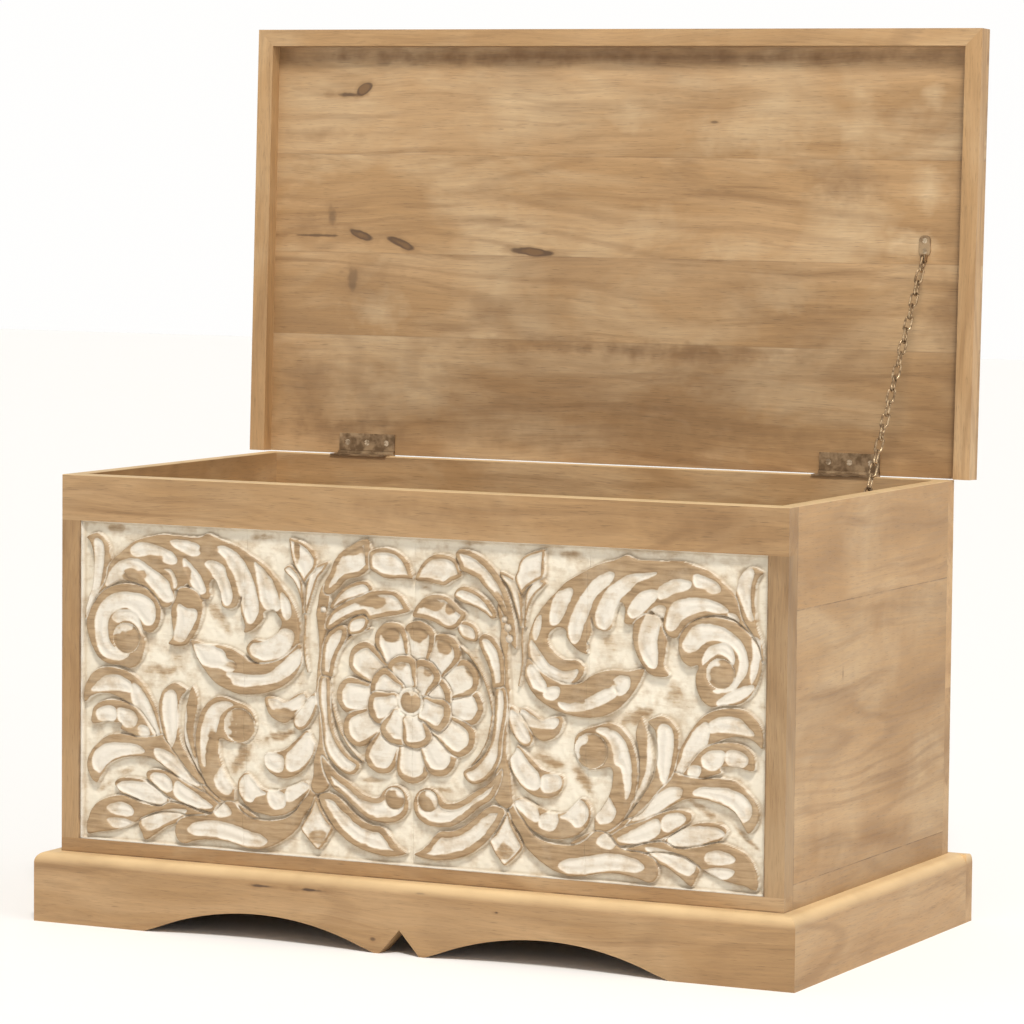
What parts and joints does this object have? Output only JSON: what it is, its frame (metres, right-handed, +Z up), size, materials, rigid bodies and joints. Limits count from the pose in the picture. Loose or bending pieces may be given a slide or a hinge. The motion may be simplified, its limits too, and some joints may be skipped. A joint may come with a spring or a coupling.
{
  "type": "blanket chest",
  "caption": "Wooden blanket chest with a carved front panel on an arched plinth, and a rimmed lift-up lid on butt hinges that a stay chain holds open.",
  "frame": {"origin": "on the floor, under the middle of the whole chest with its lid open", "axes": "+X along the front to the right, +Y from the front to the back, +Z up; the carved front faces -Y"},
  "size_m": [0.946, 0.5482, 1.0327],
  "materials": {
    "carcass_wood": "satin",
    "carved_whitewash": "matte",
    "plinth_wood": "satin",
    "lid_wood": "satin",
    "hinge_bronze": "aged",
    "screw_metal": "worn",
    "chain_brass": "aged"
  },
  "bodies": {
    "chest": {"front_top_rail": "carcass_wood", "front_bottom_rail": "carcass_wood", "front_left_stile": "carcass_wood", "front_right_stile": "carcass_wood", "left_side_top_board": "carcass_wood", "left_side_middle_board": "carcass_wood", "left_side_bottom_board": "carcass_wood", "right_side_top_board": "carcass_wood", "right_side_middle_board": "carcass_wood", "right_side_bottom_board": "carcass_wood", "back_top_board": "carcass_wood", "back_bottom_board": "carcass_wood", "bottom_panel": "carcass_wood", "front_bottom_cleat": "carcass_wood", "back_bottom_cleat": "carcass_wood", "plinth_corner_blocks": "carcass_wood", "carved_panel": "carved_whitewash", "plinth_front": "plinth_wood", "plinth_left": "plinth_wood", "plinth_right": "plinth_wood", "plinth_back": "plinth_wood", "left_hinge_body_leaf": "hinge_bronze", "left_hinge_pin": "hinge_bronze", "right_hinge_body_leaf": "hinge_bronze", "right_hinge_pin": "hinge_bronze", "hinge_body_screws": "screw_metal", "chain_screw_eye": "chain_brass"},
    "lid": {"lid_rear_board": "lid_wood", "lid_middle_board": "lid_wood", "lid_front_board": "lid_wood", "lid_front_rim": "lid_wood", "lid_left_rim": "lid_wood", "lid_right_rim": "lid_wood", "left_hinge_lid_leaf": "hinge_bronze", "right_hinge_lid_leaf": "hinge_bronze", "hinge_lid_screws": "screw_metal", "chain_bracket": "chain_brass", "chain_bracket_screws": "screw_metal"},
    "chain_upper_run": {"chain_link_01": "chain_brass", "chain_link_02": "chain_brass", "chain_link_03": "chain_brass", "chain_link_04": "chain_brass", "chain_link_05": "chain_brass", "chain_link_06": "chain_brass", "chain_link_07": "chain_brass", "chain_link_08": "chain_brass", "chain_link_09": "chain_brass", "chain_link_10": "chain_brass"},
    "chain_link_11": {"chain_link_11": "chain_brass"},
    "chain_link_12": {"chain_link_12": "chain_brass"},
    "chain_link_13": {"chain_link_13": "chain_brass"},
    "chain_lower_run": {"chain_link_14": "chain_brass", "chain_link_15": "chain_brass", "chain_link_16": "chain_brass", "chain_link_17": "chain_brass", "chain_link_18": "chain_brass", "chain_link_19": "chain_brass", "chain_link_20": "chain_brass"},
    "chain_link_21": {"chain_link_21": "chain_brass"}
  },
  "joints": [
    {"name": "lid_hinge", "type": "hinge", "parent": "chest", "child": "lid", "pos_m": [0, 0.24249, 0.5158], "axis": [1, 0, 0], "range_deg": [0, 92]},
    {"name": "chain_pivot_01", "type": "hinge", "parent": "lid", "child": "chain_upper_run", "pos_m": [0.404, 0.24785, 0.76677], "axis": [1, 0, 0], "range_deg": [-52.81, 0]},
    {"name": "chain_pivot_11", "type": "hinge", "parent": "chain_upper_run", "child": "chain_link_11", "pos_m": [0.41412, 0.13879, 0.63402], "axis": [1, 0, 0], "range_deg": [0, 48.15]},
    {"name": "chain_pivot_12", "type": "hinge", "parent": "chain_link_11", "child": "chain_link_12", "pos_m": [0.41498, 0.12954, 0.62276], "axis": [1, 0, 0], "range_deg": [0, 62]},
    {"name": "chain_pivot_13", "type": "hinge", "parent": "chain_link_12", "child": "chain_link_13", "pos_m": [0.41615, 0.11693, 0.60741], "axis": [1, 0, 0], "range_deg": [0, 62]},
    {"name": "chain_pivot_14", "type": "hinge", "parent": "chain_link_13", "child": "chain_lower_run", "pos_m": [0.417, 0.10768, 0.59615], "axis": [1, 0, 0], "range_deg": [0, 8.32]},
    {"name": "chain_pivot_21", "type": "hinge", "parent": "chain_lower_run", "child": "chain_link_21", "pos_m": [0.42426, 0.02948, 0.50096], "axis": [1, 0, 0], "range_deg": [0, 6.26]}
  ],
  "couplings": [
    {"joint": "chain_pivot_01", "follows": "lid_hinge", "ratio": -0.57396},
    {"joint": "chain_pivot_11", "follows": "lid_hinge", "ratio": 0.52328},
    {"joint": "chain_pivot_12", "follows": "lid_hinge", "ratio": 0.67391},
    {"joint": "chain_pivot_13", "follows": "lid_hinge", "ratio": 0.67391},
    {"joint": "chain_pivot_14", "follows": "lid_hinge", "ratio": 0.090367},
    {"joint": "chain_pivot_21", "follows": "lid_hinge", "ratio": 0.067989}
  ]
}
